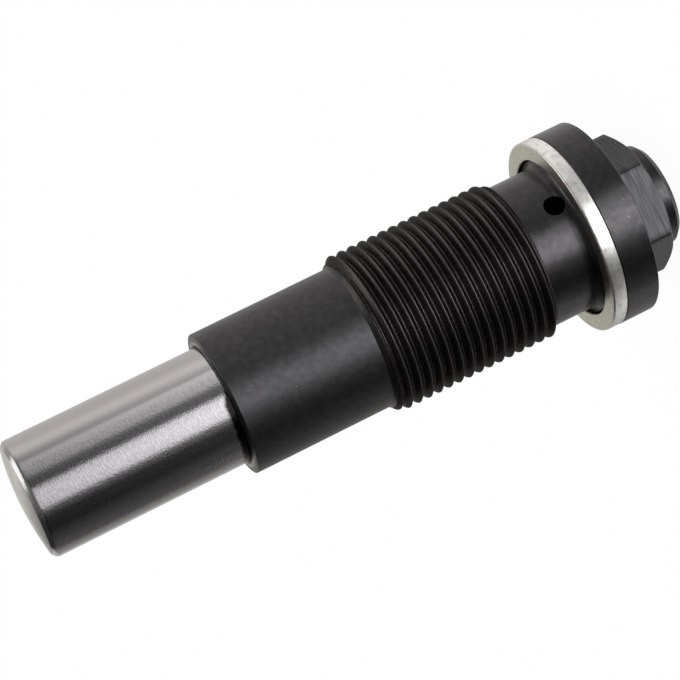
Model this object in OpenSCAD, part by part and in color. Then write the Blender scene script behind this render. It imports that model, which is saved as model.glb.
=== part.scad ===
// Screw-in hydraulic timing chain tensioner, at rest with its plunger fully out.
// The origin is the centre of the seal ring's front face, the plane that seats on the engine.
// +Z runs along the axis towards the plunger's tip, and the oil hole faces -Y.

/* [Head] */
// Diameter of the turned boss behind the hexagon
boss_d = 13.9; // [12:0.1:15]
// Length of the boss
boss_h = 2.3; // [1:0.1:5]
// Chamfer on the boss's end
boss_chamfer = 0.7; // [0.2:0.1:0.9]
// Hexagon across its flats
hex_af = 17; // [16:0.5:19]
// Length of the hexagon
hex_h = 5.35; // [4:0.05:8]
// How much smaller than the flats the turned end of the hexagon is
hex_end_inset = 0.4; // [0.2:0.1:0.8]
// Diameter of the flange
flange_d = 27; // [25:0.5:32]
// Thickness of the flange
flange_h = 4.7; // [3:0.1:8]
// Broken edges of the flange
flange_chamfer = 0.1; // [0.05:0.05:0.6]

/* [Seal ring] */
// How far the seal ring's rim stays inside the flange's rim
ring_inset = 0.05; // [0:0.05:1]
// Thickness of the seal ring
ring_t = 2; // [1:0.1:2.5]
// Radial room between the seal ring and the thread's crests
ring_play = 0.1; // [0.05:0.05:0.3]
// Broken edges of the seal ring
ring_chamfer = 0.1; // [0.05:0.05:0.3]

/* [Neck and oil hole] */
// Diameter of the neck between the seal ring and the thread
neck_d = 19.9; // [19:0.1:20.4]
// Length of the neck in front of the seal ring
neck_len = 6.4; // [5.5:0.05:9]
// Radius of the fillet that flares from the neck to the ring's shoulder
neck_fillet = 1.5; // [1.2:0.1:2]
// How far the ring's shoulder stays below the thread's crests
shoulder_inset = 0.2; // [0.2:0.05:0.4]
// How far the ring's shoulder stays behind the ring's face
shoulder_drop = 0.45; // [0.1:0.05:0.6]
// Diameter of the oil hole
oil_hole_d = 2.8; // [2:0.1:3.2]
// Height of the oil hole above the seal ring's face
oil_hole_z = 1.6; // [1.5:0.05:2.5]

/* [Thread] */
// Outside diameter of the thread
thread_d = 22; // [21.5:0.5:24]
// Pitch of the thread
thread_pitch = 1.5; // [1:0.25:1.75]
// Length of the thread with its two end chamfers
thread_len = 23.85; // [18:0.05:30]

/* [Sleeve] */
// Outside diameter of the plain sleeve
sleeve_d = 19.5; // [19:0.1:20]
// Length of the sleeve in front of the thread
sleeve_len = 19.5; // [14:0.25:30]
// Height of the bevel on the sleeve's outer edge
mouth_bevel_h = 0.45; // [0.1:0.05:0.8]
// Width of the bevel on the sleeve's outer edge
mouth_bevel_w = 0.8; // [0.2:0.05:0.85]
// Chamfer at the mouth of the guide bore
bore_chamfer = 0.3; // [0.2:0.05:0.4]

/* [Plunger] */
// Diameter of the plunger
plunger_d = 16; // [15:0.1:16.3]
// How far the plunger stands out of the sleeve at rest
plunger_out = 28.1; // [20:0.05:40]
// How far the plunger can be pushed in
stroke = 13; // [5:0.5:15]
// Radial running clearance of the plunger in its bore
guide_clearance = 0.03; // [0.02:0.01:0.06]
// Chamfer around the plunger's tip
tip_chamfer = 0.6; // [0.3:0.1:1.2]
// Height of the crown on the plunger's tip
tip_crown = 0.7; // [0.2:0.05:1]
// Diameter of the plunger's hollow
hollow_d = 11.2; // [10.5:0.1:11.6]
// Thickness of the plunger's closed end
plunger_cap = 4.35; // [3:0.05:8]
// Wire of the retaining ring
retainer_wire = 1.2; // [0.8:0.1:1.4]
// Opening of the retaining ring, in degrees
retainer_gap = 30; // [15:1:60]

/* [Springs and filler] */
// Wire of the main spring
spring_wire = 1.4; // [1:0.1:1.6]
// Turns of the main spring
spring_turns = 19; // [12:1:22]
// Radial room between the main spring and its neighbours
spring_play = 0.3; // [0.2:0.05:0.4]
// Thickness of the filler pin's head
filler_head_h = 1.2; // [0.8:0.1:3]
// Radial room between the filler pin's stem and the main spring
filler_play = 0.5; // [0.3:0.1:0.8]

/* [Check valve] */
// Diameter of the bore that holds the valve seat
seat_d = 15.6; // [15:0.1:16.4]
// Thickness of the valve seat
seat_h = 2; // [1.8:0.1:3]
// Hole through the valve seat
seat_hole_d = 2.4; // [1.6:0.1:2.6]
// Diameter of the check ball
ball_d = 4; // [3.8:0.1:4.4]
// Lift of the check ball
ball_lift = 0.8; // [0.4:0.1:1.2]
// Sheet thickness of the ball cage
cage_t = 0.5; // [0.3:0.1:0.6]
// Radial room of the ball in its cage
cage_play = 0.6; // [0.4:0.1:0.7]
// Width of each window in the ball cage
cage_window_w = 1.6; // [1:0.1:2.2]
// Wire of the ball spring
ball_spring_wire = 0.3; // [0.2:0.05:0.4]
// Turns of the ball spring
ball_spring_turns = 4; // [3:1:5]
// Diameter of the oil chamber behind the valve seat
chamber_d = 12; // [8:0.5:13]
// Depth of the oil chamber below the oil hole
chamber_below = 6.8; // [4:0.1:8]

/* [Hidden] */

$fn = 96;
// Length by which a cutting body reaches past the face that it cuts
cut = 1;
// Gap that keeps seated pieces just clear of each other
touch = 0.02;
// Room around the retaining ring in its groove, and under it at its stop
retainer_play = 0.05;
// Room around the retaining ring in the housing's recess
recess_play = 0.2;
// How far the middle of the retaining wire lies inside the plunger's surface
retainer_sink = 0.1;
// Distance of the retaining ring from the plunger's inner end
retainer_offset = 2.5;
// Gap left under the plunger when it is pushed right in
end_gap = 0.3;
// Wall between the oil hole and the valve seat's shoulder
seat_wall = 1;
// Room above the lifted ball for its closed spring
ball_spring_room = 1.45;
// Gap between the pushed-in filler pin and the ball cage
filler_gap = 1.2;
// Angle of the hexagon's turned end and of a drill's point, from a flat plane
hex_end_angle = 30;
drill_angle = 31;
// Broken edges of the small inner pieces
small_chamfer = 0.2;
// A standard thread's depth, and its crest and root flats, as shares of the pitch
depth_share = 0.613;
crest_share = 0.125;
root_share = 0.125;
// Place of the first thread groove from the neck's end, as a share of the pitch
first_groove_share = 0.3;
// Length of the thread's two end chamfers, as a share of their depth
thread_end_share = 0.4;
// Pitch of a spring's closed end turn, as a share of its wire
end_turn_share = 1.05;
// Windows around the ball cage
cage_windows = 3;
// Angle between a hexagon's corner and its flat
hex_turn = 30;
// Steps along a fillet or crown, along one turn of a spring and around its wire
arc_steps = 8;
turn_steps = 14;
wire_sides = 6;

flange_z = -ring_t - flange_h;
hex_z = flange_z - hex_h;
boss_z = hex_z - boss_h;
thread_z = neck_len;
sleeve_z = thread_z + thread_len;
mouth_z = sleeve_z + sleeve_len;
tip_z = mouth_z + plunger_out;

boss_r = boss_d / 2;
flange_r = flange_d / 2;
neck_r = neck_d / 2;
thread_r = thread_d / 2;
sleeve_r = sleeve_d / 2;
plunger_r = plunger_d / 2;
hollow_r = hollow_d / 2;
ball_r = ball_d / 2;
chamber_r = chamber_d / 2;

ring_ir = thread_r + ring_play;
ring_or = flange_r - ring_inset;
shoulder_r = thread_r - shoulder_inset;
fillet_angle = acos(1 - (shoulder_r - neck_r) / neck_fillet);
fillet_z = neck_fillet * sin(fillet_angle) - shoulder_drop;
thread_depth = depth_share * thread_pitch;
first_groove_z = thread_z + first_groove_share * thread_pitch;

seat_z = oil_hole_z + oil_hole_d / 2 + seat_wall;
seat_top = seat_z + seat_h;
chamber_z = oil_hole_z - chamber_below;

plunger_z = seat_top + end_gap + stroke;
bore_r = plunger_r + guide_clearance;
retainer_z = plunger_z + retainer_offset;
retainer_r = plunger_r - retainer_sink;
groove_r = retainer_r - retainer_wire / 2 - retainer_play;
groove_h = retainer_wire + 2 * retainer_play;
recess_r = retainer_r + retainer_wire / 2 + recess_play;
recess_top = retainer_z + retainer_wire / 2 + retainer_play;
hollow_top = tip_z - plunger_cap;
crown_r = plunger_r - tip_chamfer;
crown_z = tip_z - tip_crown;
crown_sphere = (crown_r * crown_r + tip_crown * tip_crown) / (2 * tip_crown);

ball_z = seat_top - ball_r + (ball_r + touch) * sqrt(2);
cage_r = ball_r + cage_play;
cage_roof = ball_z + ball_r + ball_lift + ball_spring_room;
cage_top = cage_roof + cage_t;
spring_r = hollow_r - spring_play - spring_wire / 2;
spring_z = seat_top + cage_t;
spring_top = hollow_top - filler_head_h;
filler_r = spring_r - spring_wire / 2 - filler_play;
filler_z = cage_top + stroke + filler_gap;
ball_spring_r = cage_r / 2;
ball_spring_rise = sqrt(pow(ball_r + ball_spring_wire / 2 + touch, 2) - pow(ball_spring_r, 2));

// Points of a closed-end helical wire from z0 to z1, ring by ring, and its triangles.
function helix_ring(r, wire, angle, z) =
    [for (i = [0 : wire_sides - 1])
        let (b = 360 * i / wire_sides, out = r + wire / 2 * cos(b))
        [out * cos(angle), out * sin(angle), z + wire / 2 * sin(b)]];
// Height along the wire: the first and the last turn lie flat, and the rest rises evenly.
function helix_rise(turn, turns, end_share) =
    turn < 1 ? turn * end_share
    : turn > turns - 1 ? 1 - (turns - turn) * end_share
    : end_share + (turn - 1) * (1 - 2 * end_share) / (turns - 2);

module helix(r, wire, turns, z0, z1) {
    rings = turns * turn_steps;
    low = z0 + wire / 2 + touch;
    rise = z1 - z0 - wire - 2 * touch;
    end_share = wire * end_turn_share / rise;
    points = [for (k = [0 : rings])
        each helix_ring(r, wire, 360 * k / turn_steps,
                        low + rise * helix_rise(k / turn_steps, turns, end_share))];
    sides = [for (k = [0 : rings - 1], i = [0 : wire_sides - 1])
        let (a = k * wire_sides + i, b = k * wire_sides + (i + 1) % wire_sides)
        each [[a, b, a + wire_sides], [b, b + wire_sides, a + wire_sides]]];
    first_end = [for (i = [wire_sides - 1 : -1 : 0]) i];
    last_end = [for (i = [0 : wire_sides - 1]) rings * wire_sides + i];
    polyhedron(points, concat(sides, [first_end, last_end]));
}

// Turned outline of the housing: boss, flange, neck, thread blank and sleeve.
module turned_outline() {
    run_out = (thread_r - neck_r) * thread_end_share;
    lead_in = (thread_r - sleeve_r) * thread_end_share;
    polygon(concat(
        [[0, boss_z],
         [boss_r - boss_chamfer, boss_z],
         [boss_r, boss_z + boss_chamfer],
         [boss_r, flange_z],
         [flange_r - flange_chamfer, flange_z],
         [flange_r, flange_z + flange_chamfer],
         [flange_r, -ring_t - flange_chamfer],
         [flange_r - flange_chamfer, -ring_t],
         [shoulder_r, -ring_t]],
        [for (i = [arc_steps : -1 : 0])
            let (a = fillet_angle * i / arc_steps)
            [neck_r + neck_fillet * (1 - cos(a)), fillet_z - neck_fillet * sin(a)]],
        [[neck_r, thread_z],
         [thread_r, thread_z + run_out],
         [thread_r, sleeve_z - lead_in],
         [sleeve_r, sleeve_z],
         [sleeve_r, mouth_z - mouth_bevel_h],
         [sleeve_r - mouth_bevel_w, mouth_z],
         [0, mouth_z]]));
}

// One thread groove, drawn about its middle and cut to the thread's full depth.
module thread_groove() {
    crest_half = thread_pitch * (1 - crest_share) / 2;
    root_half = thread_pitch * root_share / 2;
    slope = (crest_half - root_half) / thread_depth;
    polygon([[thread_r - thread_depth, -root_half],
             [thread_r + cut, -crest_half - slope * cut],
             [thread_r + cut, crest_half + slope * cut],
             [thread_r - thread_depth, root_half]]);
}

// Hexagon with its corners on the Y axis and a turned outer end.
module hexagon() {
    end_r = (hex_af - hex_end_inset) / 2;
    intersection() {
        translate([0, 0, hex_z])
            rotate([0, 0, hex_turn])
                cylinder(d = hex_af / cos(hex_turn), h = hex_h + flange_chamfer, $fn = 6);
        translate([0, 0, hex_z])
            cylinder(r1 = end_r, r2 = end_r + (hex_h + flange_chamfer) / tan(hex_end_angle),
                     h = hex_h + flange_chamfer);
    }
}

// Inner outline of the housing: oil chamber, valve seat, recess and guide bore.
module bore_outline() {
    polygon([[0, chamber_z - chamber_r * tan(drill_angle)],
             [chamber_r, chamber_z],
             [chamber_r, seat_z],
             [seat_d / 2, seat_z],
             [seat_d / 2, seat_top],
             [recess_r, seat_top],
             [recess_r, recess_top],
             [bore_r, recess_top],
             [bore_r, mouth_z - bore_chamfer],
             [bore_r + bore_chamfer, mouth_z],
             [bore_r + bore_chamfer, mouth_z + cut],
             [0, mouth_z + cut]]);
}

module housing() {
    color("#38383a")
        difference() {
            union() {
                rotate_extrude()
                    difference() {
                        turned_outline();
                        for (z = [first_groove_z : thread_pitch : sleeve_z])
                            translate([0, z])
                                thread_groove();
                    }
                hexagon();
            }
            rotate_extrude()
                bore_outline();
            translate([0, 0, oil_hole_z])
                rotate([90, 0, 0])
                    cylinder(d = oil_hole_d, h = shoulder_r + cut);
        }
}

module seal_ring() {
    color("#c8c5bd")
        rotate_extrude()
            polygon([[ring_ir, -ring_t + ring_chamfer],
                     [ring_ir + ring_chamfer, -ring_t],
                     [ring_or - ring_chamfer, -ring_t],
                     [ring_or, -ring_t + ring_chamfer],
                     [ring_or, -ring_chamfer],
                     [ring_or - ring_chamfer, 0],
                     [ring_ir + ring_chamfer, 0],
                     [ring_ir, -ring_chamfer]]);
}

module plunger() {
    crown_angle = asin(crown_r / crown_sphere);
    color("#a7a5a6")
        rotate_extrude()
            polygon(concat(
                [[hollow_r, plunger_z],
                 [plunger_r - small_chamfer, plunger_z],
                 [plunger_r, plunger_z + small_chamfer],
                 [plunger_r, retainer_z - groove_h / 2],
                 [groove_r, retainer_z - groove_h / 2],
                 [groove_r, retainer_z + groove_h / 2],
                 [plunger_r, retainer_z + groove_h / 2],
                 [plunger_r, crown_z - tip_chamfer]],
                [for (i = [arc_steps : -1 : 0])
                    let (a = crown_angle * i / arc_steps)
                    [crown_sphere * sin(a), tip_z - crown_sphere * (1 - cos(a))]],
                [[0, hollow_top],
                 [hollow_r, hollow_top]]));
}

// The opening faces +X.
module retaining_ring() {
    color("#8d8f93")
        translate([0, 0, retainer_z])
            rotate([0, 0, retainer_gap / 2])
                rotate_extrude(angle = 360 - retainer_gap)
                    translate([retainer_r, 0])
                        circle(d = retainer_wire);
}

module main_spring() {
    color("#77797c")
        helix(spring_r, spring_wire, spring_turns, spring_z, spring_top);
}

module filler_pin() {
    head_r = hollow_r - spring_play;
    color("#d8d2c0")
        rotate_extrude()
            polygon([[0, filler_z],
                     [filler_r - small_chamfer, filler_z],
                     [filler_r, filler_z + small_chamfer],
                     [filler_r, spring_top],
                     [head_r, spring_top],
                     [head_r, hollow_top],
                     [0, hollow_top]]);
}

module valve_seat() {
    outer_r = seat_d / 2 - touch;
    hole_r = seat_hole_d / 2;
    color("#8b8d90")
        rotate_extrude()
            polygon([[hole_r, seat_z],
                     [outer_r, seat_z],
                     [outer_r, seat_top - small_chamfer],
                     [outer_r - small_chamfer, seat_top],
                     [ball_r, seat_top],
                     [hole_r, seat_top - (ball_r - hole_r)]]);
}

module check_ball() {
    color("#c9cacc")
        translate([0, 0, ball_z])
            sphere(r = ball_r);
}

module ball_spring() {
    color("#9a9c9f")
        helix(ball_spring_r, ball_spring_wire, ball_spring_turns,
              ball_z + ball_spring_rise - ball_spring_wire / 2, cage_roof);
}

// Drawn sheet cup with a brim, and windows for the oil.
module ball_cage() {
    brim_r = hollow_r - spring_play - small_chamfer;
    window_h = ball_d / 2 + ball_lift;
    color("#a3a09a")
        difference() {
            rotate_extrude()
                polygon([[cage_r, seat_top],
                         [brim_r, seat_top],
                         [brim_r, spring_z],
                         [cage_r + cage_t, spring_z],
                         [cage_r + cage_t, cage_top],
                         [0, cage_top],
                         [0, cage_roof],
                         [cage_r, cage_roof]]);
            for (i = [0 : cage_windows - 1])
                rotate([0, 0, 360 * i / cage_windows])
                    translate([0, -cage_window_w / 2, spring_z + cage_t])
                        cube([brim_r, cage_window_w, window_h]);
        }
}

housing();
seal_ring();
plunger();
retaining_ring();
main_spring();
filler_pin();
valve_seat();
check_ball();
ball_spring();
ball_cage();
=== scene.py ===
import math

import bmesh
import bpy
from mathutils import Matrix, Vector


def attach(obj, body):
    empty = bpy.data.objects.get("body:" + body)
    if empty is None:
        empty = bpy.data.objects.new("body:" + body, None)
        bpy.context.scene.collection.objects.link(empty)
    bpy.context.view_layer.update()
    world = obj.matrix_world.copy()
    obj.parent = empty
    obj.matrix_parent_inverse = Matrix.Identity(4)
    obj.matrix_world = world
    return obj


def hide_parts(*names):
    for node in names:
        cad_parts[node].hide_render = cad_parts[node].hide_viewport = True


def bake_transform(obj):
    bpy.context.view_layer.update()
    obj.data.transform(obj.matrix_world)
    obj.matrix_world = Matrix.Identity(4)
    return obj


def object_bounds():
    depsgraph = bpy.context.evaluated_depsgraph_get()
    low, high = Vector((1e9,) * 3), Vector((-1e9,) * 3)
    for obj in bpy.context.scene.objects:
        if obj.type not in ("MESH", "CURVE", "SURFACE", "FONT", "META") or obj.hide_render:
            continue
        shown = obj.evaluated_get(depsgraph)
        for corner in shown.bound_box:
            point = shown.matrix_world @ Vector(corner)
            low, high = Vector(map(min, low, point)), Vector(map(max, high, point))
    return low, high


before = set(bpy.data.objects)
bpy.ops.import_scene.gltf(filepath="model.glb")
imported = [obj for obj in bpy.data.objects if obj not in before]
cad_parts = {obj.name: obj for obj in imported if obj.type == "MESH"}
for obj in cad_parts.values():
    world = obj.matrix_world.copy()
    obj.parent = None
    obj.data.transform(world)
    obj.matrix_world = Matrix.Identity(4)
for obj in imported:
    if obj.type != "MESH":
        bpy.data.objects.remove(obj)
cad_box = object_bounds()

# Housing: one steel bar, turned all over, with a milled hexagon, an M22 x 1.5 thread cut in its
# middle and an oil hole drilled through its neck. The whole body is phosphated black and oiled,
# and every other piece sits in it or on it.
MM = 0.001
columns = 144
boss_r, boss_z, boss_chamfer = 6.95, -14.35, 0.7
hex_half, hex_z, hex_end_r, hex_end_angle = 8.5, -12.05, 8.3, 30
hex_corner_r, hex_corner_turn = 9.745, 0.85
flange_r, flange_z, flange_front, flange_chamfer = 13.5, -6.7, -2.0, 0.1
shoulder_r, shoulder_z, neck_r, neck_fillet = 10.8, -0.45, 9.95, 1.5
thread_r, thread_z, thread_end, thread_pitch, thread_depth = 11.0, 6.4, 30.25, 1.5, 0.9195
thread_crest_z, thread_rows, run_out_slope, lead_in_slope = 3.43, 16, 2.5, 1.0
crest_edge, root_edge = 1 / 40, 7 / 16  # from the crest's middle, in pitches
sleeve_r, mouth_z, mouth_bevel_h, mouth_bevel_w = 9.75, 49.75, 0.32, 1.15
bore_r, bore_chamfer, recess_r, recess_top = 8.03, 0.3, 8.7, 22.45
seat_r, seat_z, seat_top = 7.8, 4.0, 6.0
chamber_r, chamber_z, drill_point_z = 6.0, -5.2, -8.805
oil_hole_r, oil_hole_z = 1.4, 1.6
neck_rings, chamber_rings = (1.6, 2.3, 3.1, 4.3), (3.1, 1.6, 0.1)  # keep the faces at the oil hole short
fillet_steps, bevel_steps = 24, 6


def add(tree, kind, inputs=None, **settings):
    """One node with its settings, and its inputs set or linked."""
    node = tree.nodes.new(kind)
    for name, value in settings.items():
        setattr(node, name, value)
    for name, value in (inputs or {}).items():
        if isinstance(value, bpy.types.NodeSocket):
            tree.links.new(value, node.inputs[name])
        else:
            node.inputs[name].default_value = value
    return node


def calc(tree, operation, *values):
    """The result of one operation on numbers or sockets."""
    return add(tree, "ShaderNodeMath", dict(enumerate(values)), operation=operation).outputs[0]


def remap(tree, value, start=0.0, end=1.0, low=0.0, high=1.0, **settings):
    """A value that runs from start to end, made to run from low to high and held there."""
    ends = {"Value": value, "From Min": start, "From Max": end, "To Min": low, "To Max": high}
    return add(tree, "ShaderNodeMapRange", ends, **settings).outputs[0]


# The thread's own tree: a sheet of rows that climb one pitch in a turn, with a narrow rounded crest and
# a root flat of an eighth of the pitch, cut off by the turned cones at its two ends.
thread_tree = bpy.data.node_groups.new("screw_thread", "GeometryNodeTree")
thread_tree.interface.new_socket("Thread", in_out="OUTPUT", socket_type="NodeSocketGeometry")
for size in ("Pitch", "Crest height", "Crest radius", "Root radius", "Start", "End", "Neck", "Sleeve",
             "Run-out slope", "Lead-in slope"):
    thread_tree.interface.new_socket(size, in_out="INPUT", socket_type="NodeSocketFloat")
thread_tree.interface.new_socket("Material", in_out="INPUT", socket_type="NodeSocketMaterial")
sizes = add(thread_tree, "NodeGroupInput").outputs
pitches = math.ceil((thread_end - thread_crest_z) / thread_pitch)
sheet = add(thread_tree, "GeometryNodeMeshGrid", {
    "Size X": 1.0, "Size Y": 1.0, "Vertices X": columns + 1, "Vertices Y": pitches * thread_rows + 1})
place = add(thread_tree, "ShaderNodeSeparateXYZ",
            {0: add(thread_tree, "GeometryNodeInputPosition").outputs[0]}).outputs
turn = calc(thread_tree, "ADD", place["X"], 0.5)
row = calc(thread_tree, "MULTIPLY_ADD", place["Y"], pitches, pitches / 2)
climb = calc(thread_tree, "ADD", row, turn)
helix = calc(thread_tree, "MULTIPLY_ADD", climb, sizes["Pitch"], sizes["Crest height"])
height = add(thread_tree, "ShaderNodeClamp",
             {"Value": helix, "Min": sizes["Start"], "Max": sizes["End"]}).outputs[0]
from_crest = calc(thread_tree, "PINGPONG", row, 0.5)
groove = remap(thread_tree, from_crest, crest_edge, root_edge, sizes["Crest radius"], sizes["Root radius"])
past_start = calc(thread_tree, "SUBTRACT", height, sizes["Start"])
run_out = calc(thread_tree, "MULTIPLY_ADD", past_start, sizes["Run-out slope"], sizes["Neck"])
before_end = calc(thread_tree, "SUBTRACT", sizes["End"], height)
lead_in = calc(thread_tree, "MULTIPLY_ADD", before_end, sizes["Lead-in slope"], sizes["Sleeve"])
cone = calc(thread_tree, "MINIMUM", run_out, lead_in)
radius = calc(thread_tree, "MINIMUM", groove, cone)
angle = calc(thread_tree, "MULTIPLY", turn, 2 * math.pi)
ray = add(thread_tree, "ShaderNodeCombineXYZ", {"X": radius, "Z": height}).outputs[0]
around = add(thread_tree, "ShaderNodeVectorRotate", {"Vector": ray, "Angle": angle},
             rotation_type="Z_AXIS").outputs[0]
bent = add(thread_tree, "GeometryNodeSetPosition", {"Geometry": sheet.outputs["Mesh"], "Position": around})
joined = add(thread_tree, "GeometryNodeMergeByDistance", {"Geometry": bent.outputs[0], "Distance": 1e-7})
real = add(thread_tree, "GeometryNodeRealizeInstances", {"Geometry": joined.outputs[0]})
coated = add(thread_tree, "GeometryNodeSetMaterial", {
    "Geometry": real.outputs[0], "Material": sizes["Material"]})
add(thread_tree, "NodeGroupOutput", {"Thread": coated.outputs[0]})


def linear(hex_colour):
    """sRGB hex to linear RGBA."""
    parts = [int(hex_colour[i:i + 2], 16) / 255 for i in (1, 3, 5)]
    return [c / 12.92 if c <= 0.04045 else ((c + 0.055) / 1.055) ** 2.4 for c in parts] + [1.0]


def new_finish(name, metallic=1.0):
    """A piece's finish: the material, its nodes, its shader and the spot on the piece that is shaded."""
    material = bpy.data.materials.new(name)
    material.use_nodes = True
    tree = material.node_tree
    shader = tree.nodes["Principled BSDF"]
    shader.inputs["Metallic"].default_value = metallic
    return material, tree, shader, add(tree, "ShaderNodeTexCoord").outputs["Object"]


def feed(tree, shader, sources):
    """The shader's sockets, each fed by a pattern."""
    for socket, source in sources.items():
        tree.links.new(source, shader.inputs[socket])


def noise(tree, spot, size, detail):
    """Random grain of this size in mm; three sizes draw it out along the axes."""
    scale = 1.0
    if isinstance(size, tuple):
        drawn_out = add(tree, "ShaderNodeMapping", {"Vector": spot, "Scale": [1 / (s * MM) for s in size]})
        spot = drawn_out.outputs[0]
    else:
        scale = 1 / (size * MM)
    return add(tree, "ShaderNodeTexNoise", {"Vector": spot, "Scale": scale, "Detail": detail}).outputs[0]


def mix(tree, share, low, high):
    """A colour between two, each a hex value or a socket."""
    low, high = (linear(c) if isinstance(c, str) else c for c in (low, high))
    blend = add(tree, "ShaderNodeMix", {"Factor": share, "A": low, "B": high}, data_type="RGBA")
    return blend.outputs["Result"]


# Phosphated black steel, turned: a satin coat of dark crystals that mirrors soft lights dimly, with faint
# turning rings, cloudy oil and a few light specks. The crystals are drawn far coarser than real, to show.
# The neck and head are smoother and darker, and the end face at the mouth is painted lighter, a painted
# highlight.
black_steel, tree, shader, spot = new_finish("phosphated_black_steel")
spot_z = add(tree, "ShaderNodeSeparateXYZ", {0: spot}).outputs["Z"]
cloud = noise(tree, spot, 0.9, 3.0)
crystals = noise(tree, spot, 0.16, 1.0)
line_z = calc(tree, "MULTIPLY", spot_z, 1 / (0.22 * MM))
lines = add(tree, "ShaderNodeTexNoise", {"W": line_z, "Scale": 1.0, "Detail": 1.0}, noise_dimensions="1D")
flecks = add(tree, "ShaderNodeTexVoronoi", {"Vector": spot, "Scale": 1 / (2.2 * MM)})
fleck = remap(tree, flecks.outputs["Distance"], 0.042, 0.025)
mottle = calc(tree, "MULTIPLY_ADD", lines.outputs[0], 0.2, cloud)
tone = remap(tree, mottle, 0.37, 0.83)
zone = remap(tree, spot_z, 6 * MM, 30 * MM)
dark = mix(tree, zone, "#3e3d3e", "#414041")
light = mix(tree, zone, "#4b4a4b", "#4e4d4e")
coat = mix(tree, tone, dark, light)
specked = mix(tree, fleck, coat, "#706f6e")
# Painted highlight: the mouth's end face is coloured light grey, so that its edge shows a thin light line.
end_face = remap(tree, spot_z, (mouth_z - 0.012) * MM, (mouth_z - 0.004) * MM)
coat_with_end_highlight = mix(tree, end_face, specked, "#8e8d8b")
rim = remap(tree, zone, low=0.91, high=1.0)
even = remap(tree, zone, low=0.18, high=0.32)
grip = calc(tree, "MULTIPLY_ADD", crystals, 0.12, even)
relief = calc(tree, "MULTIPLY_ADD", lines.outputs[0], 0.3, crystals)
bump = add(tree, "ShaderNodeBump", {"Strength": 0.5, "Distance": 0.006 * MM, "Height": relief})
feed(tree, shader, {"Base Color": coat_with_end_highlight, "Specular Tint": rim, "Roughness": grip, "Normal": bump.outputs[0]})

# The same coat on the hexagon's flats: the cutter's marks run across the axis as light and dark strokes.
milled_steel, tree, shader, spot = new_finish("milled_black_steel")
strokes = noise(tree, spot, (4.0, 4.0, 0.16), 3.0)
stroke = remap(tree, strokes, 0.3, 0.7)
coat = mix(tree, stroke, "#333334", "#525253")
bump = add(tree, "ShaderNodeBump", {"Strength": 0.4, "Distance": 0.006 * MM, "Height": stroke})
shader.inputs["Roughness"].default_value = 0.34
feed(tree, shader, {"Base Color": coat, "Normal": bump.outputs[0]})


def axis_distance(tree, spot):
    """How far the spot lies from the part's axis."""
    flat = add(tree, "ShaderNodeVectorMath", {0: spot, 1: (1, 1, 0)}, operation="MULTIPLY")
    return add(tree, "ShaderNodeVectorMath", {0: flat.outputs[0]}, operation="LENGTH").outputs["Value"]


# The same coat on the thread: darker oil in the grooves, and crests rubbed lighter. Its crystals are drawn
# coarse, too.
threaded_steel, tree, shader, spot = new_finish("threaded_black_steel")
from_axis = axis_distance(tree, spot)
crystals = noise(tree, spot, 0.3, 2.0)
tone_mix = remap(tree, crystals, 0.3, 0.7)
groove = mix(tree, tone_mix, "#383635", "#565352")
rub = remap(tree, from_axis, (thread_r - 0.3) * MM, thread_r * MM)
coat = mix(tree, rub, groove, "#605f5e")
grip = remap(tree, crystals, low=0.34, high=0.5)
shader.inputs["Specular Tint"].default_value = (0.45, 0.45, 0.45, 1)
bump = add(tree, "ShaderNodeBump", {"Strength": 0.4, "Distance": 0.008 * MM, "Height": crystals})
feed(tree, shader, {"Base Color": coat, "Roughness": grip, "Normal": bump.outputs[0]})


def plain_mesh(piece):
    """What the piece's modifiers make of it, kept as its mesh without them."""
    graph = bpy.context.evaluated_depsgraph_get()
    mesh = bpy.data.meshes.new_from_object(piece.evaluated_get(graph))
    piece.modifiers.clear()
    piece.data = mesh


def made_by(tree, name, sizes):
    """A piece made by a tree of nodes from these sizes."""
    piece = bpy.data.objects.new(name, bpy.data.meshes.new(name))
    bpy.context.collection.objects.link(piece)
    modifier = piece.modifiers.new(tree.name, "NODES")
    modifier.node_group = tree
    for item in tree.interface.items_tree:
        if item.name in sizes:
            modifier[item.identifier] = sizes[item.name]
    plain_mesh(piece)
    return piece


thread = made_by(thread_tree, "thread", {
    "Pitch": thread_pitch * MM, "Crest height": thread_crest_z * MM, "Crest radius": thread_r * MM,
    "Root radius": (thread_r - thread_depth) * MM, "Start": thread_z * MM, "End": thread_end * MM,
    "Neck": neck_r * MM, "Sleeve": sleeve_r * MM, "Run-out slope": run_out_slope,
    "Lead-in slope": lead_in_slope, "Material": threaded_steel})


def circle(r, z):
    """Points of a turned edge, in mm; on the axis it is one point."""
    turns = [2 * math.pi * i / columns for i in range(columns)] if r else [0]
    return [Vector((r * math.cos(a), r * math.sin(a), z)) for a in turns]


def wrap(bm, rings, closed=False):
    """Skin over rings of points, which run up the outside and down the inside."""
    loops = [[bm.verts.new(p * MM) for p in ring] for ring in rings]
    for low, high in zip(loops, loops[1:] + loops[:1] * closed):
        for i in range(columns):
            j = (i + 1) % columns
            corners = (low[i % len(low)], low[j % len(low)], high[j % len(high)], high[i % len(high)])
            bm.faces.new(dict.fromkeys(corners))


def hexagon(end):
    """Points around the hexagon, with a narrow facet on each corner, at the flange or at its turned end."""
    points = []
    step = 360 / columns
    for i in range(columns):
        from_corner = (i * step - 90 + 30) % 60 - 30  # the nearest corner; two of the six lie on the Y axis
        corner = i * step - from_corner
        if abs(from_corner) <= step:
            from_corner *= hex_corner_turn / step
        r = hex_half / math.cos(math.radians(30 - abs(from_corner))) if from_corner else hex_corner_r
        turn = math.radians(corner + from_corner)
        z = hex_z + (r - hex_end_r) * math.tan(math.radians(hex_end_angle)) if end else flange_z
        points.append(Vector((r * math.cos(turn), r * math.sin(turn), z)))
    return points


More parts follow.
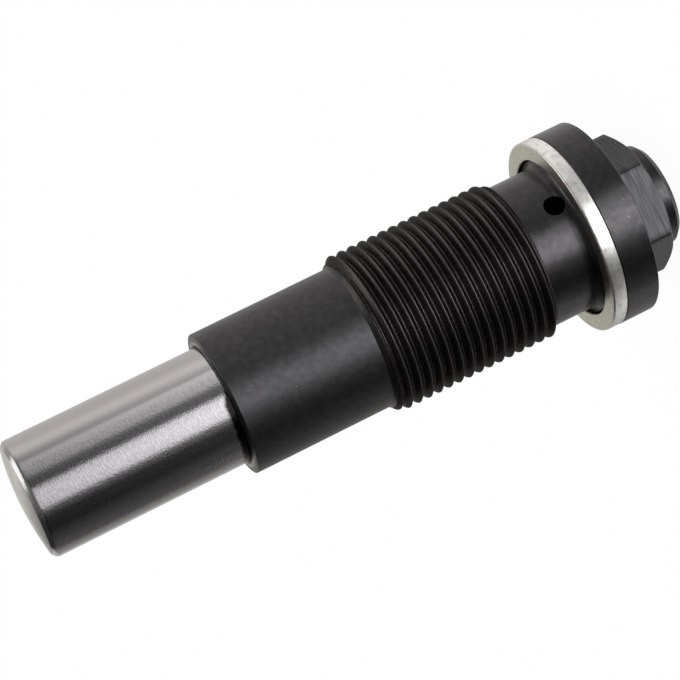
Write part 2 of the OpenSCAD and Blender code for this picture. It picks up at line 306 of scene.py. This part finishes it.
def as_object(bm, name):
    """The merged mesh as an object at the origin."""
    bmesh.ops.remove_doubles(bm, verts=bm.verts, dist=1e-7)
    mesh = bpy.data.meshes.new(name)
    bm.to_mesh(mesh)
    bm.free()
    piece = bpy.data.objects.new(name, mesh)
    bpy.context.collection.objects.link(piece)
    return piece


fillet_turn = math.acos(1 - (shoulder_r - neck_r) / neck_fillet)
fillet_z = shoulder_z + neck_fillet * math.sin(fillet_turn)
fillet = [fillet_turn * (1 - i / fillet_steps) for i in range(fillet_steps + 1)]
shell = bmesh.new()
shell.from_mesh(thread.data)
wrap(shell, [
    circle(0, boss_z), circle(boss_r - boss_chamfer, boss_z), circle(boss_r, boss_z + boss_chamfer),
    circle(boss_r, hex_z), circle(hex_end_r, hex_z), hexagon(end=True), hexagon(end=False),
    circle(flange_r - flange_chamfer, flange_z), circle(flange_r, flange_z + flange_chamfer),
    circle(flange_r, flange_front - flange_chamfer), circle(flange_r - flange_chamfer, flange_front),
    circle(shoulder_r, flange_front)]
    + [circle(neck_r + neck_fillet * (1 - math.cos(a)), fillet_z - neck_fillet * math.sin(a)) for a in fillet]
    + [circle(neck_r, z) for z in (*neck_rings, thread_z)])
bevel = [math.radians(90 * i / bevel_steps) for i in range(bevel_steps + 1)]
sleeve_support = 0.05  # a ring below the mouth's round edge keeps the sleeve's wall straight
wrap(shell, [circle(sleeve_r, thread_end), circle(sleeve_r, mouth_z - mouth_bevel_h - sleeve_support)]
     + [circle(sleeve_r - mouth_bevel_w * (1 - math.cos(a)), mouth_z - mouth_bevel_h * (1 - math.sin(a)))
        for a in bevel]
     + [circle(bore_r + bore_chamfer, mouth_z), circle(bore_r, mouth_z - bore_chamfer),
        circle(bore_r, recess_top), circle(recess_r, recess_top), circle(recess_r, seat_top),
        circle(seat_r, seat_top), circle(seat_r, seat_z), circle(chamber_r, seat_z)]
     + [circle(chamber_r, z) for z in (*chamber_rings, chamber_z)] + [circle(0, drill_point_z)])
housing = as_object(shell, "turned_housing")
bpy.data.objects.remove(thread)

# The oil hole's drill, from inside the oil chamber to outside the neck.
drill_low, drill_high = chamber_r - 1, shoulder_r + 1
drill = bmesh.new()
wrap(drill, [circle(0, drill_low), circle(oil_hole_r, drill_low), circle(oil_hole_r, drill_high),
             circle(0, drill_high)])
drill = as_object(drill, "oil_drill")
drill.data.transform(Matrix.Translation((0, 0, oil_hole_z * MM)) @ Matrix.Rotation(math.radians(90), 4, "X"))
cut = housing.modifiers.new("oil_hole", "BOOLEAN")
cut.object, cut.operation, cut.solver = drill, "DIFFERENCE", "EXACT"
plain_mesh(housing)
bpy.data.objects.remove(drill)


def crisp(piece, angle=25.0, low=0.0, high=0.0, outside=0.0):
    """Smooth faces with sharp turned edges, but for those between two heights and outside a radius."""
    bm = bmesh.new()
    bm.from_mesh(piece.data)
    for face in bm.faces:
        face.smooth = True
    for edge in bm.edges:
        soft = all(low < v.co.z / MM < high and v.co.xy.length / MM > outside for v in edge.verts)
        edge.smooth = soft or not edge.is_manifold or edge.calc_face_angle() < math.radians(angle)
    bm.to_mesh(piece.data)
    bm.free()


core_r, hair = 9.0, 0.02  # the bore's walls lie inside core_r
crisp(housing, low=thread_z + hair, high=thread_end - hair, outside=core_r)
housing.data.materials.clear()
for finish in (black_steel, milled_steel, threaded_steel):
    housing.data.materials.append(finish)
for face in housing.data.polygons:
    out, up, tilt = face.center.xy.length / MM, face.center.z / MM, abs(face.normal.z)
    on_flat = hex_z < up < flange_z - 0.05 and out > hex_end_r and tilt < 0.2
    on_lead_in = sleeve_r + lead_in_slope * (thread_end - up) - 0.03 < out < sleeve_r + 0.3
    on_thread = thread_z < up < thread_end and out > core_r and not on_lead_in
    face.material_index = 1 if on_flat else 2 if on_thread else 0
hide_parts("housing")
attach(housing, "housing")

# Seal ring: a flat ring punched from soft aluminium sheet and turned on its rim. It lies loose on
# the flange's front and is crushed a little when the tensioner is screwed home.
ring_inner, ring_outer, ring_thick, ring_edge, ring_round = 11.1, 13.45, 2.0, 0.1, 0.25
ring = bmesh.new()
wrap(ring, [circle(ring_inner + ring_edge, -ring_thick)]
     + [circle(ring_outer - ring_edge * (1 - math.sin(a)), ring_edge * (1 - math.cos(a)) - ring_thick)
        for a in bevel]
     + [circle(ring_outer - ring_round * (1 - math.cos(a)), -ring_round * (1 - math.sin(a))) for a in bevel]
     + [circle(ring_inner + ring_edge, 0), circle(ring_inner, -ring_edge),
        circle(ring_inner, ring_edge - ring_thick)], closed=True)
seal_ring = as_object(ring, "aluminium_seal_ring")
crisp(seal_ring)
# Soft aluminium: bright and slightly warm, with blurred lights, short streaks and patches of yellowish oil
# on the turned rim, and dull on its faces, where the sheet's rolled grain is drawn coarse to show.
aluminium, tree, shader, spot = new_finish("turned_aluminium")
streaks = noise(tree, spot, (1.6, 1.6, 0.25), 3.0)
patches = noise(tree, spot, 1.0, 4.0)
patch = remap(tree, patches, 0.5, 0.72)
bare = mix(tree, streaks, "#dcdbd7", "#ffffff")
coat = mix(tree, patch, bare, "#c9c4b8")
from_axis = axis_distance(tree, spot)
face_dullness, rim_dullness = 0.34, 0.25
dull = remap(tree, from_axis, (ring_outer - ring_round) * MM, ring_outer * MM, face_dullness, rim_dullness)
grip = calc(tree, "MULTIPLY_ADD", streaks, 0.12, dull)
on_face = remap(tree, dull, rim_dullness, face_dullness)
grain = noise(tree, spot, 0.35, 3.0)
rolled = mix(tree, grain, "#77746a", "#f5f2e6")
coat = mix(tree, on_face, coat, rolled)
relief = calc(tree, "MULTIPLY_ADD", grain, 0.6, streaks)
bump = add(tree, "ShaderNodeBump", {"Strength": 0.5, "Distance": 0.02 * MM, "Height": relief})
feed(tree, shader, {"Base Color": coat, "Roughness": grip, "Normal": bump.outputs[0]})
seal_ring.data.materials.append(aluminium)
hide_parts("seal_ring")
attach(seal_ring, "housing")

# Valve seat: a thick disc of hardened steel, turned, with the check valve's hole and the cone that its
# ball sits on. It is pressed into the housing's bore above the oil chamber.
disc_r, disc_chamfer, valve_hole_r, cone_r, cone_z = 7.78, 0.2, 1.2, 2.0, 5.2
seat = bmesh.new()
wrap(seat, [circle(valve_hole_r, seat_z), circle(disc_r, seat_z), circle(disc_r, seat_top - disc_chamfer),
            circle(disc_r - disc_chamfer, seat_top), circle(cone_r, seat_top), circle(valve_hole_r, cone_z)],
     closed=True)
valve_seat = as_object(seat, "pressed_valve_seat")
crisp(valve_seat)
# Turned steel, left bare: mid grey with rings from the lathe.
turned_steel, tree, shader, spot = new_finish("turned_steel")
from_axis = axis_distance(tree, spot)
ring_at = calc(tree, "MULTIPLY", from_axis, 1 / (0.12 * MM))
rings = add(tree, "ShaderNodeTexNoise", {"W": ring_at, "Scale": 1.0, "Detail": 1.0}, noise_dimensions="1D")
coat = mix(tree, rings.outputs[0], "#858789", "#97999b")
grip = remap(tree, rings.outputs[0], low=0.22, high=0.36)
bump = add(tree, "ShaderNodeBump", {"Strength": 0.5, "Distance": 0.01 * MM, "Height": rings.outputs[0]})
feed(tree, shader, {"Base Color": coat, "Roughness": grip, "Normal": bump.outputs[0]})
valve_seat.data.materials.append(turned_steel)
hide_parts("valve_seat")
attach(valve_seat, "housing")

# Check ball: a hardened and polished ball of bearing steel. A spring holds it on the seat's cone, so that
# oil comes in from the chamber but can't run back.
ball_r, ball_z, ball_rows = 2.0, 6.857, 32
rises = [math.pi * i / ball_rows for i in range(1, ball_rows)]
ball = bmesh.new()
wrap(ball, [circle(0, ball_z - ball_r)]
     + [circle(ball_r * math.sin(a), ball_z - ball_r * math.cos(a)) for a in rises]
     + [circle(0, ball_z + ball_r)])
check_ball = as_object(ball, "check_valve_ball")
crisp(check_ball)
# Polished bearing steel: a clear mirror with hair-thin scuffs.
bearing_steel, tree, shader, spot = new_finish("polished_bearing_steel")
scuffs = noise(tree, spot, 0.4, 4.0)
coat = mix(tree, scuffs, "#c2c3c5", "#d2d3d5")
grip = remap(tree, scuffs, low=0.04, high=0.14)
feed(tree, shader, {"Base Color": coat, "Roughness": grip})
check_ball.data.materials.append(bearing_steel)
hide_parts("check_ball")
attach(check_ball, "check_ball")

# Ball spring: a light coil of drawn spring wire. It stands loose between the ball and its cage's roof,
# and pushes the ball onto the seat.
# The springs' tree winds a wire whose first and last turns lie flat, as on a ground spring.
coil_tree = bpy.data.node_groups.new("coil_spring", "GeometryNodeTree")
coil_tree.interface.new_socket("Spring", in_out="OUTPUT", socket_type="NodeSocketGeometry")
for size in ("Turns", "Coil radius", "Wire radius", "Low", "Rise", "End pitch", "Pitch"):
    coil_tree.interface.new_socket(size, in_out="INPUT", socket_type="NodeSocketFloat")
coil_tree.interface.new_socket("Material", in_out="INPUT", socket_type="NodeSocketMaterial")
sizes = add(coil_tree, "NodeGroupInput").outputs
coil = add(coil_tree, "GeometryNodeCurveSpiral", {
    "Resolution": 36, "Rotations": sizes["Turns"], "Start Radius": sizes["Coil radius"],
    "End Radius": sizes["Coil radius"], "Height": 1.0})
place = add(coil_tree, "ShaderNodeSeparateXYZ", {
    0: add(coil_tree, "GeometryNodeInputPosition").outputs[0]}).outputs
turn = calc(coil_tree, "MULTIPLY", place["Z"], sizes["Turns"])
first = calc(coil_tree, "MULTIPLY", turn, sizes["End pitch"])
after_first = calc(coil_tree, "SUBTRACT", turn, 1.0)
middle = calc(coil_tree, "MULTIPLY_ADD", after_first, sizes["Pitch"], sizes["End pitch"])
from_last = calc(coil_tree, "SUBTRACT", turn, sizes["Turns"])
last = calc(coil_tree, "MULTIPLY_ADD", from_last, sizes["End pitch"], sizes["Rise"])
start = calc(coil_tree, "MAXIMUM", first, middle)
rise = calc(coil_tree, "MINIMUM", start, last)
level = calc(coil_tree, "ADD", rise, sizes["Low"])
point = add(coil_tree, "ShaderNodeCombineXYZ", {"X": place["X"], "Y": place["Y"], "Z": level}).outputs[0]
wound = add(coil_tree, "GeometryNodeSetPosition", {"Geometry": coil.outputs[0], "Position": point})
section = add(coil_tree, "GeometryNodeCurvePrimitiveCircle", {
    "Resolution": 12, "Radius": sizes["Wire radius"]})
wire = add(coil_tree, "GeometryNodeCurveToMesh", {
    "Curve": wound.outputs[0], "Profile Curve": section.outputs[0], "Fill Caps": True})
real = add(coil_tree, "GeometryNodeRealizeInstances", {"Geometry": wire.outputs[0]})
coated = add(coil_tree, "GeometryNodeSetMaterial", {
    "Geometry": real.outputs[0], "Material": sizes["Material"]})
add(coil_tree, "NodeGroupOutput", {"Spring": coated.outputs[0]})
# Drawn spring wire: grey steel with a thin dark oil film and fine draw marks.
spring_wire, tree, shader, spot = new_finish("drawn_spring_wire")
film = noise(tree, spot, 1.2, 3.0)
draw = noise(tree, spot, (1.5, 1.5, 0.1), 2.0)
coat = mix(tree, film, "#66686b", "#85878a")
grip = remap(tree, film, low=0.2, high=0.4)
bump = add(tree, "ShaderNodeBump", {"Strength": 0.4, "Distance": 0.01 * MM, "Height": draw})
feed(tree, shader, {"Base Color": coat, "Roughness": grip, "Normal": bump.outputs[0]})


def coil_spring(name, wire, coil_r, turns, low, high):
    """A spring of drawn wire, from the wire's middle at its low end to that at its high end."""
    end_pitch, rise = 1.05 * wire, high - low  # an end turn all but touches the next
    spring = made_by(coil_tree, name, {
        "Turns": float(turns), "Coil radius": coil_r * MM, "Wire radius": wire / 2 * MM, "Low": low * MM,
        "Rise": rise * MM, "End pitch": end_pitch * MM, "Pitch": (rise - 2 * end_pitch) / (turns - 2) * MM,
        "Material": spring_wire})
    crisp(spring, angle=60)
    return spring


ball_coil_low, ball_coil_high = 8.484, 10.937
ball_spring = coil_spring("ball_coil", wire=0.3, coil_r=1.3, turns=4, low=ball_coil_low, high=ball_coil_high)
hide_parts("ball_spring")
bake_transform(ball_spring)

# Ball cage: a cup drawn from steel sheet, with three windows for the oil and a brim that the main
# spring holds down on the valve seat. The solid's shape is right, so it stays.
# Drawn sheet: plain grey with long smears from the die along the cup's wall.
drawn_sheet, tree, shader, spot = new_finish("drawn_steel_sheet")
smears = noise(tree, spot, (0.2, 0.2, 2.5), 3.0)
coat = mix(tree, smears, "#8f8d88", "#a9a6a0")
grip = remap(tree, smears, low=0.26, high=0.42)
feed(tree, shader, {"Base Color": coat, "Roughness": grip})
cage = bpy.data.objects["ball_cage"]
cage.data.materials.clear()
cage.data.materials.append(drawn_sheet)

# Main spring: a long coil of drawn wire that pushes the plunger out. Its lower end stands on the
# cage's brim in the housing, and its upper end carries the filler pin's head in the plunger.
main_low, main_high = 7.22, 71.58
main_spring = coil_spring("main_coil", wire=1.4, coil_r=4.6, turns=19, low=main_low, high=main_high)
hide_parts("main_spring")
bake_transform(main_spring)

# Filler pin: a moulded nylon pin that fills the oil space inside the spring; its head lies between
# the spring's end and the plunger's cap.
pin_r, pin_low, pin_chamfer = 3.4, 25.807, 0.2
head_r, head_low, head_top, head_chamfer = 5.3, 72.3, 73.5, 0.1
pin = bmesh.new()
wrap(pin, [
    circle(0, pin_low), circle(pin_r - pin_chamfer, pin_low), circle(pin_r, pin_low + pin_chamfer),
    circle(pin_r, head_low), circle(head_r - head_chamfer, head_low), circle(head_r, head_low + head_chamfer),
    circle(head_r, head_top - head_chamfer), circle(head_r - head_chamfer, head_top), circle(0, head_top)])
filler_pin = as_object(pin, "moulded_filler_pin")
crisp(filler_pin)
# Moulded nylon: a milky cream plastic with a dull sheen and a faint mould grain.
nylon, tree, shader, spot = new_finish("moulded_nylon", metallic=0.0)
shader.inputs["IOR"].default_value = 1.53
grain = noise(tree, spot, 0.5, 3.0)
coat = mix(tree, grain, "#d6d0bd", "#e0dac8")
grip = remap(tree, grain, low=0.42, high=0.56)
bump = add(tree, "ShaderNodeBump", {"Strength": 0.3, "Distance": 0.02 * MM, "Height": grain})
feed(tree, shader, {"Base Color": coat, "Roughness": grip, "Normal": bump.outputs[0]})
filler_pin.data.materials.append(nylon)
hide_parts("filler_pin")
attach(filler_pin, "plunger")

# Plunger: a hollow steel piston, hardened and ground on its outside so that it slides in the
# housing's bore. Its tip is crowned, with a turned chamfer around it, and pushes on the guide rail.
plunger_r, plunger_z, hollow_r, hollow_top = 8.0, 19.3, 5.6, 73.5
groove_r, groove_low, groove_high = 7.25, 21.15, 22.45
tip_z, tip_crown, tip_chamfer, foot_chamfer, crown_steps = 77.85, 0.7, 0.6, 0.2, 12
tip_round = ((0, 1.55), (0.02, 1.38), (0.07, 1.24), (0.16, 1.11), (0.28, 0.99))  # inset, depth under the tip
crown_r = plunger_r - tip_chamfer
crown_sphere = (crown_r ** 2 + tip_crown ** 2) / (2 * tip_crown)
crown = [crown_r * (1 - i / crown_steps) for i in range(crown_steps + 1)]
piston = bmesh.new()
wrap(piston, [
    circle(0, hollow_top), circle(hollow_r, hollow_top), circle(hollow_r, plunger_z),
    circle(plunger_r - foot_chamfer, plunger_z), circle(plunger_r, plunger_z + foot_chamfer),
    circle(plunger_r, groove_low), circle(groove_r, groove_low), circle(groove_r, groove_high),
    circle(plunger_r, groove_high)]
    + [circle(plunger_r - inset, tip_z - depth) for inset, depth in tip_round]
    + [circle(r, tip_z - crown_sphere + math.sqrt(crown_sphere ** 2 - r * r)) for r in crown])
plunger = as_object(piston, "ground_plunger")
crisp(plunger)
# Ground steel: a clear grey metal, mottled by grinding grit, so that the lights' long bands stay crisp but
# fray along their edges. The grit's marks are drawn coarser than real, to show. One side is rubbed smooth;
# a near-black band lies by the housing's mouth, widest on another side; painted shade darkens the crown
# there.
ground_steel, tree, shader, spot = new_finish("ground_steel")
marks = noise(tree, spot, (0.6, 0.6, 0.25), 2.0)
mark = remap(tree, marks, 0.3, 0.7)
grit = noise(tree, spot, 0.22, 2.0)
mixed_marks = calc(tree, "ADD", mark, grit)
speckle = remap(tree, mixed_marks, 0.6, 1.4)
rubbed_way, band_and_shade_way = (0.655, -0.756, 0), (-0.9, -0.437, 0)
rubbed_side = add(tree, "ShaderNodeVectorMath", {0: spot, 1: rubbed_way},
                  operation="DOT_PRODUCT").outputs["Value"]
rubbed = remap(tree, rubbed_side, 0.79 * plunger_r * MM, 0.84 * plunger_r * MM)
speckle = add(tree, "ShaderNodeMix", {"Factor": rubbed, "A": speckle, "B": 0.5})
metal = mix(tree, speckle.outputs[0], "#b2b0b1", "#c0bebf")
band_and_shade_side = add(tree, "ShaderNodeVectorMath", {0: spot, 1: band_and_shade_way},
                operation="DOT_PRODUCT").outputs["Value"]
# A near-black band beside the housing's mouth, its top higher towards one side and frayed by the marks.
band_rise = remap(tree, band_and_shade_side, 0.6 * plunger_r * MM, 0.8 * plunger_r * MM,
                 (mouth_z - 0.3) * MM, (mouth_z + 0.75) * MM)
spot_z = add(tree, "ShaderNodeSeparateXYZ", {0: spot}).outputs["Z"]
frayed_band_top = calc(tree, "MULTIPLY_ADD", marks, 0.8 * MM, band_rise)
over_band = calc(tree, "SUBTRACT", spot_z, frayed_band_top)
tone_mix = remap(tree, over_band, 0, -0.4 * MM)
# Painted shade: towards that side the crown's colour and its mirroring are darkened, down to half.
crown_painted_shade = remap(tree, band_and_shade_side, 2 * MM, 7.5 * MM, 1.0, 0.5)
on_crown = remap(tree, spot_z, (tip_z - tip_crown - 0.03) * MM, (tip_z - tip_crown) * MM)
crown_coat = add(tree, "ShaderNodeVectorMath", {0: metal, "Scale": crown_painted_shade}, operation="SCALE")
metal = mix(tree, on_crown, metal, crown_coat.outputs[0])
rim = add(tree, "ShaderNodeMix", {"Factor": on_crown, "A": 1.0, "B": crown_painted_shade})
coat = mix(tree, tone_mix, metal, "#262524")
grip = remap(tree, marks, low=0.06, high=0.12)
relief = calc(tree, "MULTIPLY_ADD", marks, 0.5, grit)
rough = remap(tree, rubbed, low=1.0, high=0.35)
bump = add(tree, "ShaderNodeBump", {"Strength": rough, "Distance": 0.012 * MM, "Height": relief})
feed(tree, shader, {
    "Base Color": coat, "Specular Tint": rim.outputs[0], "Roughness": grip, "Normal": bump.outputs[0]})
plunger.data.materials.append(ground_steel)
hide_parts("plunger")
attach(plunger, "plunger")

# Retaining ring: an open ring of spring wire in the plunger's groove, which meets the recess's
# shoulder and stops the plunger from leaving the housing.
clip_r, clip_wire, clip_z, clip_opening = 7.9, 1.2, 21.8, 30
clip_tree = bpy.data.node_groups.new("open_wire_ring", "GeometryNodeTree")
clip_tree.interface.new_socket("Ring", in_out="OUTPUT", socket_type="NodeSocketGeometry")
for size in ("Ring radius", "Wire radius", "Height", "Opening"):
    clip_tree.interface.new_socket(size, in_out="INPUT", socket_type="NodeSocketFloat")
clip_tree.interface.new_socket("Material", in_out="INPUT", socket_type="NodeSocketMaterial")
sizes = add(clip_tree, "NodeGroupInput").outputs
half = calc(clip_tree, "MULTIPLY", sizes["Opening"], 0.5)
sweep = calc(clip_tree, "SUBTRACT", 2 * math.pi, sizes["Opening"])
arc = add(clip_tree, "GeometryNodeCurveArc", {
    "Resolution": 97, "Radius": sizes["Ring radius"], "Start Angle": half, "Sweep Angle": sweep})
lift = add(clip_tree, "ShaderNodeCombineXYZ", {"Z": sizes["Height"]}).outputs[0]
lifted = add(clip_tree, "GeometryNodeSetPosition", {"Geometry": arc.outputs[0], "Offset": lift})
section = add(clip_tree, "GeometryNodeCurvePrimitiveCircle", {
    "Resolution": 16, "Radius": sizes["Wire radius"]})
wire = add(clip_tree, "GeometryNodeCurveToMesh", {
    "Curve": lifted.outputs[0], "Profile Curve": section.outputs[0], "Fill Caps": True})
real = add(clip_tree, "GeometryNodeRealizeInstances", {"Geometry": wire.outputs[0]})
coated = add(clip_tree, "GeometryNodeSetMaterial", {
    "Geometry": real.outputs[0], "Material": sizes["Material"]})
add(clip_tree, "NodeGroupOutput", {"Ring": coated.outputs[0]})
retaining_ring = made_by(clip_tree, "open_retaining_ring", {
    "Ring radius": clip_r * MM, "Wire radius": clip_wire / 2 * MM, "Height": clip_z * MM,
    "Opening": math.radians(clip_opening), "Material": spring_wire})
crisp(retaining_ring, angle=60)
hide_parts("retaining_ring")
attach(retaining_ring, "plunger")

# Stage: a plain pale floor under the head's end, white to the camera with the part's faint shadow.
# The metal mirrors the studio around it and not the floor.
floor_size, floor_whiteness = 12.0, 0.96
bpy.ops.mesh.primitive_plane_add(size=floor_size)
floor = bpy.context.object
floor.name = "floor"
floor.data.transform(Matrix.Translation((0, 0, cad_box[0][2])))
floor.visible_glossy = False
paper = bpy.data.materials.new("white_paper")
paper.use_nodes = True
tree = paper.node_tree
tree.nodes.remove(tree.nodes["Principled BSDF"])
lit = add(tree, "ShaderNodeBsdfDiffuse", {"Color": linear("#f2f2f2")})
white = add(tree, "ShaderNodeEmission", {"Color": (1, 1, 1, 1), "Strength": 1.0})
path = add(tree, "ShaderNodeLightPath").outputs
mirrored = calc(tree, "ADD", path["Is Glossy Ray"], path["Is Transmission Ray"])
watched = calc(tree, "ADD", path["Is Camera Ray"], mirrored)
seen = calc(tree, "MULTIPLY", watched, floor_whiteness)
mixed = add(tree, "ShaderNodeMixShader", {0: seen, 1: lit.outputs[0], 2: white.outputs[0]})
tree.links.new(mixed.outputs[0], tree.nodes["Material Output"].inputs["Surface"])
floor.data.materials.append(paper)

# Light: one soft lamp for the floor, and a wide tent of light and dark cards that the metal mirrors. A
# lower row lights the head and neck, an upper row the plunger, a far card the tip's crown and the ring's
# face, and a lamp hangs high at the tip's side. The white backdrop behind the tent is all the camera sees.
# The cards are placed by their turn from the camera, in degrees, positive to the picture's lower right.
camera_turn = math.radians(-114.1)
tent_r = 20.0
lower_level, upper_level = 3.9, 1.5
lamp_colour = (1.3, 1.3, 1.25, 1)  # brighter than a white card
lower_cards = [
    (-180, "#656464"), (-120, "#888685"), (-92, "#7e7d7b"),                         # grey wall, left
    (-52, "#545454"), (-30, "#535353"),                                             # and its dark edge
    (-7, "#d6d6d6"), (6, "#ffffff"), (18, "#f5f5f5"),                               # white card at the camera
    (34, "#868686"), (45, "#505050"), (66, "#313131"), (88, "#505050"),             # black flag
    (112, "#7c7c7a"), (131, "#6b6b69"), (156, "#585857"), (180, "#656464")]         # grey wall, right
upper_cards = [
    (-180, "#b0adab"), (-120, "#bcb9b6"), (-94, "#d2cfcd"), (-72, "#a6a5a4"),       # pale wall, left
    (-64, "#c9c9c9"), (-44, "#b2b2b2"), (-30, "#666666"), (-19, "#5e5e5e"),         # narrow card and a gap
    (-8, "#f0f0f1"), (4, "#fdfdff"), (20, "#f0f0f2"),                               # white card at the camera
    (33, "#646464"), (45, "#333333"), (66, "#2b2b2b"), (90, "#404040"),             # black flag
    (114, "#4f4f4e"), (140, "#888885"), (160, "#a8a8a4"), (180, "#b0adab")]         # pale wall, right
bpy.ops.mesh.primitive_ico_sphere_add(subdivisions=4, radius=tent_r)
tent = bpy.context.object
tent.name = "light_tent"
tent.visible_camera = tent.visible_shadow = False
cards_cloth = bpy.data.materials.new("lit_cards")
cards_cloth.use_nodes = True
cards_cloth.cycles.emission_sampling = "NONE"
tree = cards_cloth.node_tree
tree.nodes.remove(tree.nodes["Principled BSDF"])
spot = add(tree, "ShaderNodeTexCoord").outputs["Object"]
look = add(tree, "ShaderNodeVectorMath", {0: spot}, operation="NORMALIZE").outputs[0]
look_part = add(tree, "ShaderNodeSeparateXYZ", {0: look}).outputs
heading = calc(tree, "ARCTAN2", look_part["Y"], look_part["X"])
from_camera = calc(tree, "MULTIPLY_ADD", heading, -1 / (2 * math.pi), camera_turn / (2 * math.pi) + 1.5)
share = calc(tree, "MODULO", from_camera, 1.0)
rows = []
for cards in (lower_cards, upper_cards):
    ramp = add(tree, "ShaderNodeValToRGB", {"Fac": share})
    ramp.color_ramp.interpolation = "EASE"
    stops = ramp.color_ramp.elements
    for number, (turn, colour) in enumerate(cards):
        stop = stops[number] if number < 2 else stops.new(1.0)
        stop.position = (turn + 180) / 360
        stop.color = linear(colour)
    rows.append(ramp.outputs["Color"])
facing = {}
for card, turn, rise in (("lamp", -110, 60), ("roof", -120, 46), ("top", -10, 45), ("far", 180, 7)):
    turn, rise = camera_turn - math.radians(turn), math.radians(rise)
    way = (math.cos(rise) * math.cos(turn), math.cos(rise) * math.sin(turn), math.sin(rise))
    facing[card] = add(tree, "ShaderNodeVectorMath", {0: look, 1: way},
                       operation="DOT_PRODUCT").outputs["Value"]
# The roof over the upper row: dark, paler on one side and over the camera, with the lamp in it.
halo = remap(tree, facing["roof"], 0.48, 0.95)
roof = mix(tree, halo, "#303030", "#a0a0a0")
top = remap(tree, facing["top"], 0.6, 0.97)
roof = mix(tree, top, roof, "#969696")
glow = remap(tree, facing["lamp"], 0.9, 0.99, interpolation_type="SMOOTHSTEP")
roof = mix(tree, glow, roof, lamp_colour)
above = remap(tree, look_part["Z"], 0.2, 0.5)
upper = mix(tree, above, rows[1], roof)
# The far card, behind the part, lighter towards its top.
far_width = remap(tree, facing["far"], 0.8, 0.95)
far_foot = remap(tree, look_part["Z"], -0.04, 0.08)
far = calc(tree, "MULTIPLY", far_width, far_foot)
far_rise = remap(tree, look_part["Z"], 0.22, 0.42)
far_card = mix(tree, far_rise, "#adaca6", "#d0cfc9")
upper = mix(tree, far, upper, far_card)
# The lower row, with plain grey under it, and how it goes over into the upper row.
below = remap(tree, look_part["Z"], -0.6, -0.85)
lower = mix(tree, below, rows[0], "#7d7d7d")
low_light = add(tree, "ShaderNodeEmission", {"Color": lower, "Strength": lower_level}).outputs[0]
front = remap(tree, facing["far"], 0.2, -0.2)
foot = remap(tree, look_part["Z"], -0.3, 0.1, 0.75, -0.5)
foot_light = calc(tree, "MULTIPLY", front, foot)
high_level = calc(tree, "MULTIPLY_ADD", foot_light, upper_level, upper_level)
high_light = add(tree, "ShaderNodeEmission", {"Color": upper, "Strength": high_level}).outputs[0]
row_top = remap(tree, front, low=-0.1, high=-0.165)
row = remap(tree, look_part["Z"], -0.3, row_top)
studio = add(tree, "ShaderNodeMixShader", {0: row, 1: low_light, 2: high_light}).outputs[0]
tree.links.new(studio, tree.nodes["Material Output"].inputs["Surface"])
tent.data.materials.append(cards_cloth)

# The backdrop: white where it is seen or mirrored, and no light on the object.
world = bpy.data.worlds.new("white_backdrop")
bpy.context.scene.world = world
world.use_nodes = True
tree = world.node_tree
path = add(tree, "ShaderNodeLightPath").outputs
mirrored = calc(tree, "ADD", path["Is Glossy Ray"], path["Is Transmission Ray"])
watched = calc(tree, "ADD", path["Is Camera Ray"], mirrored)
backdrop = add(tree, "ShaderNodeBackground", {"Color": (1, 1, 1, 1), "Strength": watched}).outputs[0]
tree.links.new(backdrop, tree.nodes["World Output"].inputs["Surface"])

# The lamp: wide and high, so that the shadow on the floor stays soft.
lamp = bpy.data.objects.new("soft_lamp", bpy.data.lights.new("soft_lamp", "SUN"))
bpy.context.collection.objects.link(lamp)
lamp.data.energy = 2.2
lamp.data.angle = math.radians(70)
lamp.matrix_world = Matrix.Rotation(math.radians(20), 4, "X")
lamp.visible_glossy = False

# Camera: a long lens, turned and rolled to the photograph's view.
lens_px, image_px = 2556.36, 680
camera_rise = math.radians(11.744)
picture_roll = math.radians(26.19)
aim_height = 32.31 * MM
aim_shift = 0.7426 * MM
camera_distance = 326.9 * MM
toward = Vector((math.cos(camera_turn), math.sin(camera_turn), 0))
side = Vector((math.sin(camera_turn), -math.cos(camera_turn), 0))
up = Vector((0, 0, 1))
roll_cos, roll_sin = math.cos(picture_roll), math.sin(picture_roll)
rise_cos, rise_sin = math.cos(camera_rise), math.sin(camera_rise)
axis_x = roll_sin * side + rise_sin * roll_cos * toward - rise_cos * roll_cos * up
axis_y = -roll_cos * side + rise_sin * roll_sin * toward - rise_cos * roll_sin * up
axis_z = rise_cos * toward + rise_sin * up
camera = bpy.data.objects.new("camera", bpy.data.cameras.new("camera"))
bpy.context.collection.objects.link(camera)
camera.data.sensor_width = 36.0
camera.data.lens = camera.data.sensor_width * lens_px / image_px
camera.matrix_world = Matrix.Translation(
    aim_height * up - aim_shift * side + camera_distance * axis_z
) @ Matrix((axis_x, axis_y, axis_z)).transposed().to_4x4()
bpy.context.scene.camera = camera
bpy.context.scene.view_settings.view_transform = "Standard"
